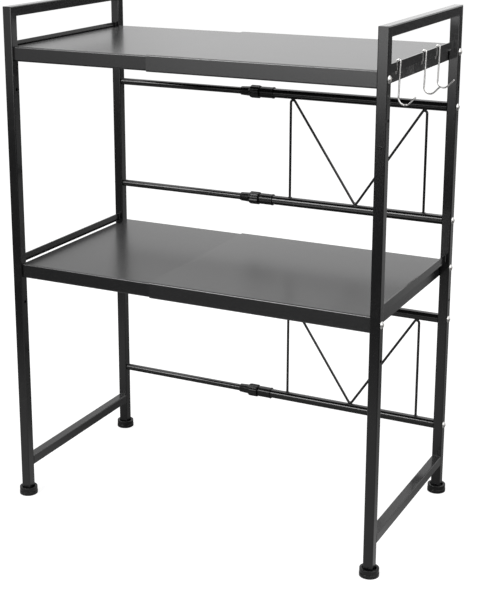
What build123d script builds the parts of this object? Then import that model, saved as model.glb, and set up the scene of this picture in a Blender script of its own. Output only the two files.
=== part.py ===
from build123d import *
import os
from math import acos, atan2, cos, hypot, pi, sin, sqrt, tan

# A two-shelf microwave rack whose width adjusts. Two welded side frames of square tube
# are joined by two shelves and four back rods, and all of these telescope. The left
# frame carries the inner trays and the thin tubes, the right frame the outer trays and
# the thick tubes. A twist lock on each rod clamps the width.
# Millimetres. X runs along the width, Y from front to back and Z up. The floor is z = 0.

# Overall sizes, slid fully out
rack_width = 600.0
rack_depth = 320.0
rack_height = 780.0

# Square tube of the side frames
tube = 15.0
tube_wall = 1.0
tube_bore_corner = 0.6
post_foot_z = 9.0
bottom_bar_z = 47.5

# Flat bars on edge that close each side frame beside a shelf
rail_thickness = 2.0
rail_height = 12.0
upper_rail_sink = 6.5
lower_rail_sink = 1.5

# Shelf trays, folded from sheet, one sliding inside the other
sheet = 0.8
sheet_bend = 1.4
tray_recess = 3.0
tray_drop = 22.0
tray_lip = 8.0
tray_gap = 0.3
inner_tray_length = 345.0
outer_tray_length = 345.0
upper_shelf_drop = 57.5
lower_shelf_z = 388.0
shelf_screw_drop = 11.5

# Back rods: a thin tube slides in a thick one. Each stands at a height set from a shelf,
# and the lowest from the bottom bars.
rod_1_drop = 94.5
rod_2_rise = 64.0
rod_3_drop = 95.5
rod_4_rise = 67.0
thin_radius = 5.5
thin_wall = 0.9
thin_length = 340.0
thick_radius = 7.5
thick_wall = 1.0
thick_length = 312.0
plug_length = 20.0
bush_head = 4.0
bush_spigot = 12.0

# Screws that hold the shelves and the rods to the posts
screw_radius = 2.0
screw_length = 30.0
screw_head_radius = 5.5
screw_head_rise = 3.0
nut_block_length = 12.0
nut_block_width = 11.0
nut_block_height = 12.0
spare_hole_drops = [65.5, 63.5]
spare_hole_radius = 2.5

# Clearances
screw_clearance = 0.25
thread_clearance = 0.05
slide_fit = 0.05
loose_fit = 0.3

# Twist locks, measured along the rod from the nut's free end
nut_barrel = 15.0
nut_cone = 3.5
nut_grip = 14.5
nut_tip_radius = 7.0
nut_barrel_radius = 7.75
nut_grip_radius = 10.5
nut_mouth = 3.0
nut_edge = 0.8
flute_count = 10
flute_radius = 1.8
flute_depth = 0.8
spigot_radius = 7.9
spigot_start = 17.1
lock_groove = 1.5
sleeve_length = 23.5
sleeve_radius = 8.9
sleeve_chamfer = 1.6
sleeve_lip = 2.5
sleeve_lip_radius = 9.3
collet_start = 3.4
collet_length = 13.0
collet_tip_wall = 0.6
collet_back_wall = 1.2
collet_slots = 4
collet_slot_width = 1.0

# Wire braces between the rods
brace_radius = 2.0
brace_bend = 4.0
brace_left = 312.0
brace_right = 538.0
weld_depth = 0.2

# Wire hooks on the right upper rail
hook_radius = 1.2
hook_side_gap = 0.65
hook_inner_leg = 16.0
hook_shank = 48.5
hook_crook_radius = 8.8
hook_crook_turn = 137.0
hook_tip = 12.3
hook_tilt = 1.5
hook_places = [-98.0, 8.0, 69.0]

# Levelling feet
foot_radius = 14.5
foot_top_radius = 14.2
foot_groove_radius = 13.4
foot_height = 12.0
foot_rim = 5.2
foot_groove = 1.4
foot_edge = 0.8
foot_dish_radius = 10.6
stem_radius = 3.0
stem_length = 30.0
stem_seat_z = 3.0
insert_length = 16.0

# Plug in the front hole of the right front post
post_plug_drop = 100.5
post_plug_radius = 3.0
post_plug_rise = 1.2
post_plug_shank_radius = 2.2
post_plug_shank = 5.0

# Places worked out from the sizes above
post_x = (rack_width - tube) / 2
post_y = (rack_depth - tube) / 2
inner_x = rack_width / 2 - tube
tray_depth = rack_depth - 2 * tray_recess
nest = sheet + tray_gap
inner_depth = tray_depth - 2 * nest
outer_drop = tray_drop + 2 * nest
upper_shelf_z = rack_height - upper_shelf_drop
upper_rail_z = upper_shelf_z - upper_rail_sink
lower_rail_z = lower_shelf_z - lower_rail_sink
rod_heights = [upper_shelf_z - rod_1_drop, lower_shelf_z + rod_2_rise,
               lower_shelf_z - rod_3_drop, bottom_bar_z + rod_4_rise]
spare_hole_heights = [upper_shelf_z - spare_hole_drops[0], lower_shelf_z - spare_hole_drops[1]]
post_plug_z = upper_shelf_z - post_plug_drop
upper_screw_z = upper_shelf_z - shelf_screw_drop
lower_screw_z = lower_shelf_z - shelf_screw_drop
screw_hole_radius = screw_radius + screw_clearance
tapped_radius = screw_radius + thread_clearance
thick_end_x = inner_x - thick_length
nut_length = nut_barrel + nut_cone + nut_grip
lock_x = thick_end_x - nut_length - loose_fit
parts = {}


def facing_x(x, y, z):
    """A drawing plane that faces +X, with +Y to its right and +Z up."""
    return Plane(origin=(x, y, z), x_dir=(0, 1, 0), z_dir=(1, 0, 0))


def facing_y(x, y, z):
    """A drawing plane that faces +Y."""
    return Plane(origin=(x, y, z), x_dir=(1, 0, 0), z_dir=(0, 1, 0))


def rod_along_x(x, y, z, radius, length):
    """A round bar that starts at a point and runs along +X."""
    return extrude(facing_x(x, y, z) * Circle(radius), length)


def square_tube(plane, length):
    """Square tube with rounded corners that runs along a plane's normal."""
    bore = tube - 2 * tube_wall
    outline = RectangleRounded(tube, tube, tube_bore_corner + tube_wall)
    outline -= RectangleRounded(bore, bore, tube_bore_corner)
    return extrude(plane * outline, length)


def mitre(side, end):
    """The cutting plane of the corner between a post and its top bar."""
    corner = (side * post_x, end * rack_depth / 2, rack_height)
    return Plane(origin=corner, x_dir=(1, 0, 0), z_dir=(0, -end, 1))


def cross_holes(x, y, heights, radius):
    """Cutters for holes that run through a post from side to side."""
    return [rod_along_x(x - tube, y, z, radius, 2 * tube) for z in heights]


def post(side, end):
    """One upright. Side is -1 for left and 1 for right, end is -1 for front and 1 for rear."""
    x = side * post_x
    y = end * post_y
    upright = square_tube(Plane((x, y, post_foot_z)), rack_height - post_foot_z)
    upright = split(upright, bisect_by=mitre(side, end), keep=Keep.BOTTOM)
    screw_heights = [upper_screw_z, lower_screw_z]
    if end > 0:
        screw_heights += rod_heights
    upright -= cross_holes(x, y, screw_heights, screw_hole_radius)
    upright -= cross_holes(x, y, spare_hole_heights, spare_hole_radius)
    return upright


def plug_hole():
    """Cutter for the plug's hole in the front wall of the right front post."""
    start = facing_y(post_x, -rack_depth / 2 - tube_wall, post_plug_z)
    return extrude(start * Circle(post_plug_shank_radius + slide_fit), 3 * tube_wall)


def post_plug():
    """Domed plug pressed into the front of the right front post."""
    face = facing_y(post_x, -rack_depth / 2, post_plug_z)
    shank = extrude(face * Circle(post_plug_shank_radius), post_plug_shank)
    return shank + dome(face, post_plug_radius, post_plug_rise)


def dome(face, radius, rise):
    """A round cap that stands on a plane, on the side its normal points away from."""
    ball_radius = (radius ** 2 + rise ** 2) / (2 * rise)
    ball = face.offset(ball_radius - rise) * Sphere(ball_radius)
    return split(ball, bisect_by=face, keep=Keep.BOTTOM)


def top_bar(side):
    """Top bar, mitred at both ends to meet the posts."""
    start = facing_y(side * post_x, -rack_depth / 2, rack_height - tube / 2)
    bar = square_tube(start, rack_depth)
    for end in (-1, 1):
        bar = split(bar, bisect_by=mitre(side, end), keep=Keep.TOP)
    return bar


def bottom_bar(side):
    """Bottom bar, cut square between the posts."""
    start = facing_y(side * post_x, tube - rack_depth / 2, bottom_bar_z + tube / 2)
    return square_tube(start, rack_depth - 2 * tube)


def side_rail(side, z):
    """Flat bar on edge between the posts, with its lower edge at z."""
    bar = Box(rail_thickness, rack_depth - 2 * tube, rail_height)
    return Pos(side * post_x, 0, z + rail_height / 2) * bar


def tray(side, top_z, screw_z, depth, drop, length):
    """A shelf half: folded front, rear and bottom lips, and a closed end at the posts."""
    start_x = -inner_x if side < 0 else inner_x - length
    end_x = -inner_x if side < 0 else inner_x - sheet
    fold = RectangleRounded(depth, drop, sheet_bend + sheet)
    fold -= RectangleRounded(depth - 2 * sheet, drop - 2 * sheet, sheet_bend)
    fold -= Pos(0, -drop / 2) * Rectangle(depth - 2 * tray_lip, 2 * sheet + sheet_bend)
    middle_z = top_z - drop / 2
    shell = extrude(facing_x(start_x, 0, middle_z) * fold, length)
    close = RectangleRounded(depth - sheet, drop - sheet, sheet_bend + sheet / 2)
    shell += extrude(facing_x(end_x, 0, middle_z) * close, sheet)
    for end in (-1, 1):
        shell -= rod_along_x(end_x - sheet, end * post_y, screw_z, screw_hole_radius, 3 * sheet)
    return shell


def nut_blocks(side, depth):
    """The tapped blocks in the trays' corners at the posts, for both shelves."""
    blocks = []
    x = side * (inner_x - sheet - nut_block_length / 2)
    for z in (upper_screw_z, lower_screw_z):
        for end in (-1, 1):
            y = end * (depth / 2 - sheet - nut_block_width / 2)
            block = Pos(x, y, z) * Box(nut_block_length, nut_block_width, nut_block_height)
            block -= rod_along_x(x - nut_block_length, end * post_y, z, tapped_radius, 2 * nut_block_length)
            blocks.append(block)
    return blocks


def round_tube(x, z, radius, wall, length):
    """A back rod's tube that starts at x and runs along +X."""
    ring = Circle(radius) - Circle(radius - wall)
    return extrude(facing_x(x, post_y, z) * ring, length)


def end_plugs(side, bore_radius):
    """Tapped plugs in the rods' ends at the posts."""
    x = -inner_x if side < 0 else inner_x - plug_length
    ring = Circle(bore_radius - slide_fit) - Circle(tapped_radius)
    return [extrude(facing_x(x, post_y, z) * ring, plug_length) for z in rod_heights]


def guide_bushes():
    """Plastic bushes on the thin tubes' free ends, which run inside the thick tubes."""
    x = -inner_x + thin_length
    head_radius = thick_radius - thick_wall - slide_fit
    spigot = thin_radius - thin_wall - slide_fit
    bushes = []
    for z in rod_heights:
        bush = rod_along_x(x, post_y, z, head_radius, bush_head)
        bush += rod_along_x(x - bush_spigot, post_y, z, spigot, bush_spigot)
        bush -= rod_along_x(x - bush_spigot, post_y, z, spigot / 2, bush_spigot + bush_head)
        bushes.append(bush)
    return bushes


def screw(side, y, z):
    """A domed screw that enters a post from outside and points at the rack's middle."""
    face_x = side * rack_width / 2
    face = Plane(origin=(face_x, y, z), x_dir=(0, 1, 0), z_dir=(-side, 0, 0))
    shank = extrude(face * Circle(screw_radius), screw_length)
    return shank + dome(face, screw_head_radius, screw_head_rise)


def side_screws(side):
    """The screws of a side: one through each post into each tray, one into each back rod."""
    heights = (upper_screw_z, lower_screw_z)
    screws = [screw(side, end * post_y, z) for z in heights for end in (-1, 1)]
    return screws + [screw(side, post_y, z) for z in rod_heights]


def turned(x, z, outline):
    """A ring round a rod, from an outline of (distance along the rod, radius) points."""
    face = make_face(Polyline([(x + along, radius) for along, radius in outline], close=True))
    ring = revolve(face, axis=Axis.X)
    return Pos(0, post_y, z) * Rot(90, 0, 0) * ring


def lock_nut(z):
    """Knurled nut that squeezes the collet on the thin tube."""
    cone_end = nut_barrel + nut_cone
    mouth = thin_radius + loose_fit
    bore = spigot_radius + slide_fit
    seat_tip = thin_radius + slide_fit + collet_tip_wall + slide_fit
    seat_back = thin_radius + slide_fit + collet_back_wall + slide_fit
    bore_start = spigot_start - loose_fit
    outline = [(0, mouth), (0, nut_tip_radius), (nut_barrel, nut_barrel_radius),
               (cone_end, nut_grip_radius), (nut_length - nut_edge, nut_grip_radius),
               (nut_length, nut_grip_radius - nut_edge), (nut_length, bore), (bore_start, bore),
               (bore_start, seat_back), (nut_mouth, seat_tip), (nut_mouth, mouth)]
    nut = turned(lock_x, z, outline)
    for i in range(flute_count):
        angle = 2 * pi * i / flute_count
        reach = nut_grip_radius + flute_radius - flute_depth
        y = post_y + reach * cos(angle)
        nut -= rod_along_x(lock_x + cone_end, y, z + reach * sin(angle), flute_radius, nut_grip)
    return nut


def lock_sleeve(z):
    """Sleeve pressed on the thick tube's end, with the spigot that the nut turns on."""
    shoulder = nut_length + loose_fit
    start = nut_length + lock_groove
    end = start + sleeve_length
    thin_bore = thin_radius + loose_fit
    thick_bore = thick_radius + slide_fit
    outline = [(spigot_start, thin_bore), (spigot_start, spigot_radius), (start, spigot_radius),
               (start + sleeve_chamfer, sleeve_radius), (end - sleeve_lip, sleeve_radius),
               (end - sleeve_lip, sleeve_lip_radius), (end, sleeve_lip_radius),
               (end, thick_bore), (shoulder, thick_bore), (shoulder, thin_bore)]
    return turned(lock_x, z, outline)


def lock_collet(z):
    """Slotted cone between the nut and the spigot, which closes on the thin tube."""
    bore = thin_radius + slide_fit
    back = collet_start + collet_length
    outline = [(collet_start, bore), (collet_start, bore + collet_tip_wall),
               (back, bore + collet_back_wall), (back, bore)]
    ring = turned(lock_x, z, outline)
    slot_length = collet_length - collet_start
    for i in range(collet_slots // 2):
        slot = Box(slot_length, collet_slot_width, 4 * thin_radius)
        middle_x = lock_x + collet_start + slot_length / 2
        ring -= Pos(middle_x, post_y, z) * Rot(360 * i / collet_slots, 0, 0) * slot
    return ring


def swept_wire(path, radius):
    """Round wire along a path."""
    start = Plane(origin=path @ 0, z_dir=path % 0)
    return sweep(start * Circle(radius), path=path)


def brace(upper_z, lower_z):
    """Bent wire between two thick tubes: two uprights joined by a V."""
    left_x = brace_left - inner_x
    right_x = brace_right - inner_x
    middle_x = (left_x + right_x) / 2
    gap = thick_radius + brace_radius - weld_depth
    top_bend_z = upper_z - gap - brace_bend
    low_bend_z = lower_z + gap + brace_bend
    run = middle_x - left_x - brace_bend
    rise = top_bend_z - low_bend_z
    lean = acos(2 * brace_bend / hypot(run, rise)) - atan2(rise, run)
    top_corner_z = top_bend_z + brace_bend / tan(lean / 2)
    low_corner_z = low_bend_z - brace_bend / sin(lean)
    corners = [(left_x, lower_z), (left_x, top_corner_z), (middle_x, low_corner_z),
               (right_x, top_corner_z), (right_x, lower_z)]
    path = FilletPolyline([(x, post_y, z) for x, z in corners], radius=brace_bend)
    wire = swept_wire(path, brace_radius)
    for z in (upper_z, lower_z):
        wire -= rod_along_x(left_x - tube, post_y, z, thick_radius, right_x - left_x + 2 * tube)
    return max(wire.solids(), key=lambda piece: piece.volume)


def hook(y):
    """Wire hook that hangs over the right upper rail and opens outwards."""
    inside = rail_thickness / 2 + hook_side_gap
    bend = inside + hook_radius
    bend_z = upper_rail_z + rail_height - sqrt((inside - loose_fit) ** 2 - (rail_thickness / 2) ** 2)
    turn = hook_crook_turn * pi / 180
    over = Line((-bend, -hook_inner_leg), (-bend, 0))
    over += ThreePointArc((-bend, 0), (0, bend), (bend, 0))
    over += Line((bend, 0), (bend, -hook_shank))
    centre_x = bend + hook_crook_radius
    crook_x = centre_x - hook_crook_radius * cos(turn)
    crook_z = -hook_shank - hook_crook_radius * sin(turn)
    half_x = centre_x - hook_crook_radius * cos(turn / 2)
    half_z = -hook_shank - hook_crook_radius * sin(turn / 2)
    over += ThreePointArc((bend, -hook_shank), (half_x, half_z), (crook_x, crook_z))
    tip_x = crook_x + hook_tip * sin(turn)
    tip_z = crook_z - hook_tip * cos(turn)
    over += Line((crook_x, crook_z), (tip_x, tip_z))
    flat = Plane(origin=(0, 0, 0), x_dir=(1, 0, 0), z_dir=(0, -1, 0))
    path = (flat * over).wires()[0]
    wire = swept_wire(path, hook_radius)
    return Pos(post_x, y, bend_z) * Rot(0, hook_tilt, 0) * wire


def foot_places():
    """Name, side and end of each of the four posts."""
    sides = {"left": -1, "right": 1}
    ends = {"front": -1, "rear": 1}
    return [(f"{s}_{e}", sides[s], ends[e]) for s in sides for e in ends]


def foot_pad(side, end):
    """Round foot with two rims, and a dish that takes the post's end."""
    groove_top = foot_rim + foot_groove
    dish_z = post_foot_z - loose_fit
    bore = stem_radius + slide_fit
    outline = [(0, 0), (foot_radius - foot_edge, 0), (foot_radius, foot_edge),
               (foot_radius, foot_rim - foot_edge / 2), (foot_radius - foot_edge / 2, foot_rim),
               (foot_groove_radius, foot_rim), (foot_groove_radius, groove_top),
               (foot_top_radius - foot_edge / 2, groove_top), (foot_top_radius, groove_top + foot_edge / 2),
               (foot_top_radius, foot_height - foot_edge), (foot_top_radius - foot_edge, foot_height),
               (foot_dish_radius + foot_edge, foot_height), (foot_dish_radius, foot_height - foot_edge),
               (foot_dish_radius, dish_z), (bore, dish_z), (bore, stem_seat_z), (0, stem_seat_z)]
    face = Plane.XZ * make_face(Polyline(outline, close=True))
    pad = revolve(face, axis=Axis.Z)
    return Pos(side * post_x, end * post_y, 0) * pad


def foot_stem(side, end):
    """Threaded stem that stands in the foot and runs in the post's insert."""
    stem = Plane((side * post_x, end * post_y, stem_seat_z)) * Circle(stem_radius)
    return extrude(stem, stem_length)


def foot_inserts(side):
    """Tapped plastic inserts in the posts' lower ends."""
    inserts = []
    width = tube - 2 * tube_wall - 2 * slide_fit
    for end in (-1, 1):
        outline = RectangleRounded(width, width, tube_bore_corner) - Circle(stem_radius + slide_fit)
        start = Plane((side * post_x, end * post_y, post_foot_z))
        inserts.append(extrude(start * outline, insert_length))
    return inserts


def build_frames():
    """Posts, bars and rails of both side frames."""
    for side, name in ((-1, "left"), (1, "right")):
        parts[f"{name}_front_post"] = post(side, -1)
        parts[f"{name}_rear_post"] = post(side, 1)
        parts[f"{name}_top_bar"] = top_bar(side)
        parts[f"{name}_bottom_bar"] = bottom_bar(side)
        parts[f"{name}_upper_rail"] = side_rail(side, upper_rail_z)
        parts[f"{name}_lower_rail"] = side_rail(side, lower_rail_z)
        parts[f"{name}_screws"] = side_screws(side)
        parts[f"{name}_foot_inserts"] = foot_inserts(side)
    parts["right_front_post"] -= plug_hole()
    parts["post_hole_plug"] = post_plug()
    for name, side, end in foot_places():
        parts[f"{name}_foot"] = foot_pad(side, end)
        parts[f"{name}_foot_stem"] = foot_stem(side, end)


def build_shelves():
    """Both telescoping shelves and their nut blocks."""
    shelves = (("upper", upper_shelf_z, upper_screw_z), ("lower", lower_shelf_z, lower_screw_z))
    for name, top_z, screw_z in shelves:
        inner = tray(-1, top_z - nest, screw_z, inner_depth, tray_drop, inner_tray_length)
        parts[f"{name}_inner_tray"] = inner
        parts[f"{name}_outer_tray"] = tray(1, top_z, screw_z, tray_depth, outer_drop, outer_tray_length)
    parts["inner_tray_nut_blocks"] = nut_blocks(-1, inner_depth)
    parts["outer_tray_nut_blocks"] = nut_blocks(1, tray_depth)


def build_rods():
    """The four telescoping back rods, their twist locks and the two braces."""
    for number, z in enumerate(rod_heights, start=1):
        parts[f"thin_tube_{number}"] = round_tube(-inner_x, z, thin_radius, thin_wall, thin_length)
        parts[f"thick_tube_{number}"] = round_tube(thick_end_x, z, thick_radius, thick_wall, thick_length)
        parts[f"lock_nut_{number}"] = lock_nut(z)
        parts[f"lock_sleeve_{number}"] = lock_sleeve(z)
        parts[f"lock_collet_{number}"] = lock_collet(z)
    parts["thin_rod_end_plugs"] = end_plugs(-1, thin_radius - thin_wall)
    parts["thick_rod_end_plugs"] = end_plugs(1, thick_radius - thick_wall)
    parts["thin_rod_guide_bushes"] = guide_bushes()
    parts["upper_brace"] = brace(rod_heights[0], rod_heights[1])
    parts["lower_brace"] = brace(rod_heights[2], rod_heights[3])


def build_hooks():
    """The three hooks on the right upper rail."""
    for number, y in enumerate(hook_places, start=1):
        parts[f"hook_{number}"] = hook(y)


def write_parts():
    """Centre the whole rack over the origin and write one file for each node."""
    os.makedirs("parts", exist_ok=True)
    for name, shape in parts.items():
        solids = shape if isinstance(shape, list) else [shape]
        parts[name] = [solid for piece in solids for solid in piece.solids()]
    boxes = [solid.bounding_box() for solids in parts.values() for solid in solids]
    low_x = min(box.min.X for box in boxes)
    high_x = max(box.max.X for box in boxes)
    shift = Pos(-(low_x + high_x) / 2, 0, 0)
    print(f"frame shift in x: {-(low_x + high_x) / 2:.4f}")
    for name, solids in parts.items():
        moved = [shift * solid for solid in solids]
        export_step(moved[0] if len(moved) == 1 else Compound(children=moved), f"parts/{name}.step")


build_frames()
build_shelves()
build_rods()
build_hooks()
write_parts()
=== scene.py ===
"""Looks of a two-shelf microwave rack whose width adjusts, dressed over its fixed frame.

Lengths are in metres, in the frame's axes: X along the width, Y from front to back and Z up.
"""
import logging
import math
from collections.abc import Sequence
from dataclasses import dataclass, replace
from enum import Enum

import bmesh
import bpy
from bmesh.types import BMEdge, BMesh, BMVert
from bpy.types import Material, Node, NodeSocket, ShaderNodeTree
from mathutils import Matrix, Vector


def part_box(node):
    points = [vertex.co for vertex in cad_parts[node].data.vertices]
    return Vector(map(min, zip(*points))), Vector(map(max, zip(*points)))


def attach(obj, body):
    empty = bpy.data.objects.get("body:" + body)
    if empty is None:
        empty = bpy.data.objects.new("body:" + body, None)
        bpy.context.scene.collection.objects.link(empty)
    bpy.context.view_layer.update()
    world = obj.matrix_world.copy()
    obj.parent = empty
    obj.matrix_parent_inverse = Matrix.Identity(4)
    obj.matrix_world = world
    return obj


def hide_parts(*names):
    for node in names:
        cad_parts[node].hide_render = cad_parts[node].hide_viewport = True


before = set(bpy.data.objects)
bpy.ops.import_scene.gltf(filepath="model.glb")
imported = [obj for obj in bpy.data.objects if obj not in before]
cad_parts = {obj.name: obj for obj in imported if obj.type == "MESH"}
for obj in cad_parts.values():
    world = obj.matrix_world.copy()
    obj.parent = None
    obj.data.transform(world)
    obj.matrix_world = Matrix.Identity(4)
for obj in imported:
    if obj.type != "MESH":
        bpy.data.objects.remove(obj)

log = logging.getLogger("microwave_rack")

MM = 0.001
MERGE = 0.001 * MM
LEAST_ROUNDED = math.radians(28.0)
RODS = range(1, 5)
HOOKS = range(1, 4)
POST_PLACES = ("front", "rear")
WHITE = (1.0, 1.0, 1.0, 1.0)
ORIGIN = (0.0, 0.0, 0.0)
Triple = tuple[float, float, float]
Outline = list[tuple[float, float]]


class Slot(Enum):
    """The material slots that the frame's record names."""

    FRAME = "black_powder_coat"
    SHELF = "shelf_coat"
    ROD = "gloss_black_rod"
    NICKEL = "bright_nickel"
    ZINC = "zinc_steel"
    NATURAL = "natural_plastic"
    PLASTIC = "black_plastic"


class Along(Enum):
    """The frame's axes in their order, and the distance from its origin."""

    WIDTH = 0
    DEPTH = 1
    HEIGHT = 2
    DISTANCE = 3


class Side(Enum):
    """The two welded side frames."""

    LEFT = "left"
    RIGHT = "right"

    @property
    def body(self) -> str:
        """The body that the side's fixed pieces ride on."""
        return self.named("side")

    def named(self, piece: str) -> str:
        """The name of this side's own piece of a kind."""
        return f"{self.value}_{piece}"


class NodeSheet:
    """A node tree with short calls that add nodes and join them."""

    def __init__(self, tree: ShaderNodeTree) -> None:
        """Keeps the tree that the other calls write to."""
        self.tree = tree

    def add(self, kind: str, *values: object, **settings: object) -> Node:
        """Adds a node, sets its options and feeds its first inputs.

        Args:
            kind: The node's type name.
            *values: What feeds its inputs in their order, each a socket or a constant.
            **settings: The node's options and their values.

        Returns:
            The new node.
        """
        node = self.tree.nodes.new(kind)
        for option, setting in settings.items():
            setattr(node, option, setting)
        for socket, value in zip(node.inputs, values):
            self.feed(socket, value)
        return node

    def feed(self, socket: NodeSocket, value: object) -> None:
        """Joins a socket to another one, or sets its constant.

        Args:
            socket: The input to feed.
            value: An output socket, or a constant.
        """
        if isinstance(value, NodeSocket):
            self.tree.links.new(value, socket)
        else:
            socket.default_value = value

    def calculate(self, operation: str, first: object, second: object) -> NodeSocket:
        """Adds a calculation on two sockets or numbers, and returns its result's socket."""
        return self.add("ShaderNodeMath", first, second, operation=operation).outputs[0]

    def spread(self, value: NodeSocket, low: float, high: float,
               to_low: float, to_high: float) -> NodeSocket:
        """Maps a value smoothly, so that low becomes to_low and high becomes to_high."""
        return self.add("ShaderNodeMapRange", value, low, high, to_low, to_high,
                        interpolation_type="SMOOTHSTEP").outputs["Result"]

    def noise(self, position: NodeSocket, cells: object, detail: float = 2.0) -> NodeSocket:
        """Adds noise, about 0.5 on average, by its cells in a metre and its finer layers."""
        return self.add("ShaderNodeTexNoise", position, 0.0, cells, detail).outputs[0]

    def measure(self, place: NodeSocket, along: Along) -> NodeSocket:
        """Reads one number from coordinates.

        Args:
            place: The coordinates.
            along: The axis to read, or the distance from their origin.

        Returns:
            The number's socket.
        """
        if along is Along.DISTANCE:
            return self.add("ShaderNodeVectorMath", place, operation="LENGTH").outputs["Value"]
        return self.add("ShaderNodeSeparateXYZ", place).outputs[along.value]

    def blend(self, mask: NodeSocket, first: Triple, second: Triple) -> NodeSocket:
        """Mixes two colours by a mask.

        Args:
            mask: 0 for the first colour and 1 for the second.
            first: The colour without the mask.
            second: The colour under the mask.

        Returns:
            The mixed colour.
        """
        node = self.add("ShaderNodeMix", mask, data_type="RGBA")
        sockets = [socket for socket in node.inputs if socket.type == "RGBA"]
        for socket, colour in zip(sockets, (first, second)):
            socket.default_value = (*colour, 1.0)
        return next(socket for socket in node.outputs if socket.type == "RGBA")


@dataclass(frozen=True)
class Effect:
    """A node group with named inputs and one output, built once and placed in each material."""

    name: str
    inputs: tuple[str, ...]
    output: str

    def draw(self, sheet: NodeSheet, *inputs: NodeSocket) -> NodeSocket:
        """Draws the effect inside its group.

        Args:
            sheet: The group's nodes.
            *inputs: The group's inputs, in the order of their names.

        Returns:
            The value that the group puts out.
        """
        raise NotImplementedError

    def tree(self) -> ShaderNodeTree:
        """Builds the group the first time that it is asked for.

        Returns:
            The group. Its inputs Position and Normal are vectors, and the rest numbers.
        """
        kept = bpy.data.node_groups.get(self.name)
        if kept:
            return kept
        tree = bpy.data.node_groups.new(self.name, "ShaderNodeTree")
        for title in self.inputs:
            kind = "NodeSocketVector" if title in ("Position", "Normal") else "NodeSocketFloat"
            tree.interface.new_socket(name=title, in_out="INPUT", socket_type=kind)
        tree.interface.new_socket(name=self.output, in_out="OUTPUT", socket_type="NodeSocketFloat")
        sheet = NodeSheet(tree)
        entry = sheet.add("NodeGroupInput")
        sheet.add("NodeGroupOutput", self.draw(sheet, *entry.outputs[:len(self.inputs)]))
        return tree

    def put(self, sheet: NodeSheet, *values: object) -> NodeSocket:
        """Places the group in a material, fed in the order of its inputs."""
        return sheet.add("ShaderNodeGroup", *values, node_tree=self.tree()).outputs[0]


@dataclass(frozen=True)
class Grain(Effect):
    """Fine pebbled grain over a coarser waviness, as paint and moulded plastic have."""

    name: str = "pebbled_grain"
    inputs: tuple[str, ...] = ("Position", "Cells", "Waviness")
    output: str = "Height"
    fine_detail: float = 3.0
    coarse_cells: float = 0.12

    def draw(self, sheet: NodeSheet, *inputs: NodeSocket) -> NodeSocket:
        """Adds the fine noise to its share of the coarse one.

        Args:
            sheet: The group's nodes.
            *inputs: The position, the fine cells in a metre and the waviness.

        Returns:
            The height, about 0.5 for the fine grain and as much for each part of waviness.
        """
        position, cells, waviness = inputs
        fine = sheet.noise(position, cells, self.fine_detail)
        coarse = sheet.noise(position, sheet.calculate("MULTIPLY", cells, self.coarse_cells))
        return sheet.calculate("ADD", fine, sheet.calculate("MULTIPLY", coarse, waviness))


@dataclass(frozen=True)
class Smudges(Effect):
    """Soft uneven patches, where hands and cloths have dulled a surface."""

    name: str = "handling_smudges"
    inputs: tuple[str, ...] = ("Position", "Cells", "Amount")
    output: str = "Mask"
    wide_detail: float = 3.0
    wide_edge: tuple[float, float] = (0.42, 0.68)
    small_cells: float = 9.0
    small_detail: float = 4.0
    small_edge: tuple[float, float] = (0.35, 0.7)
    least_share: float = 0.35

    def draw(self, sheet: NodeSheet, *inputs: NodeSocket) -> NodeSocket:
        """Multiplies two patch sizes and lets the amount set their strength.

        Args:
            sheet: The group's nodes.
            *inputs: The position, the wide patches in a metre and the amount.

        Returns:
            The mask, from 0 to the amount.
        """
        position, cells, amount = inputs
        wide = sheet.noise(position, cells, self.wide_detail)
        small = sheet.noise(position, sheet.calculate("MULTIPLY", cells, self.small_cells),
                            self.small_detail)
        patch = sheet.calculate("MULTIPLY", sheet.spread(wide, *self.wide_edge, 0.0, 1.0),
                                sheet.spread(small, *self.small_edge, self.least_share, 1.0))
        return sheet.calculate("MULTIPLY", patch, amount)


@dataclass(frozen=True)
class Dust(Effect):
    """Fine specks on the faces that look up."""

    name: str = "settled_dust"
    inputs: tuple[str, ...] = ("Position", "Normal", "Cells", "Amount")
    output: str = "Mask"
    upward_edge: tuple[float, float] = (0.3, 0.95)
    speck_edge: tuple[float, float] = (0.66, 0.78)
    speck_detail: float = 1.0

    def draw(self, sheet: NodeSheet, *inputs: NodeSocket) -> NodeSocket:
        """Keeps the brightest cells of a fine noise on the upward faces.

        Args:
            sheet: The group's nodes.
            *inputs: The position, the normal, the specks in a metre and the amount.

        Returns:
            The mask, from 0 to the amount.
        """
        position, normal, cells, amount = inputs
        upward = sheet.spread(sheet.measure(normal, Along.HEIGHT), *self.upward_edge, 0.0, 1.0)
        noise = sheet.noise(position, cells, self.speck_detail)
        specks = sheet.spread(noise, *self.speck_edge, 0.0, 1.0)
        return sheet.calculate("MULTIPLY", sheet.calculate("MULTIPLY", upward, specks), amount)


GRAIN, SMUDGES, DUST = Grain(), Smudges(), Dust()


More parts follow.
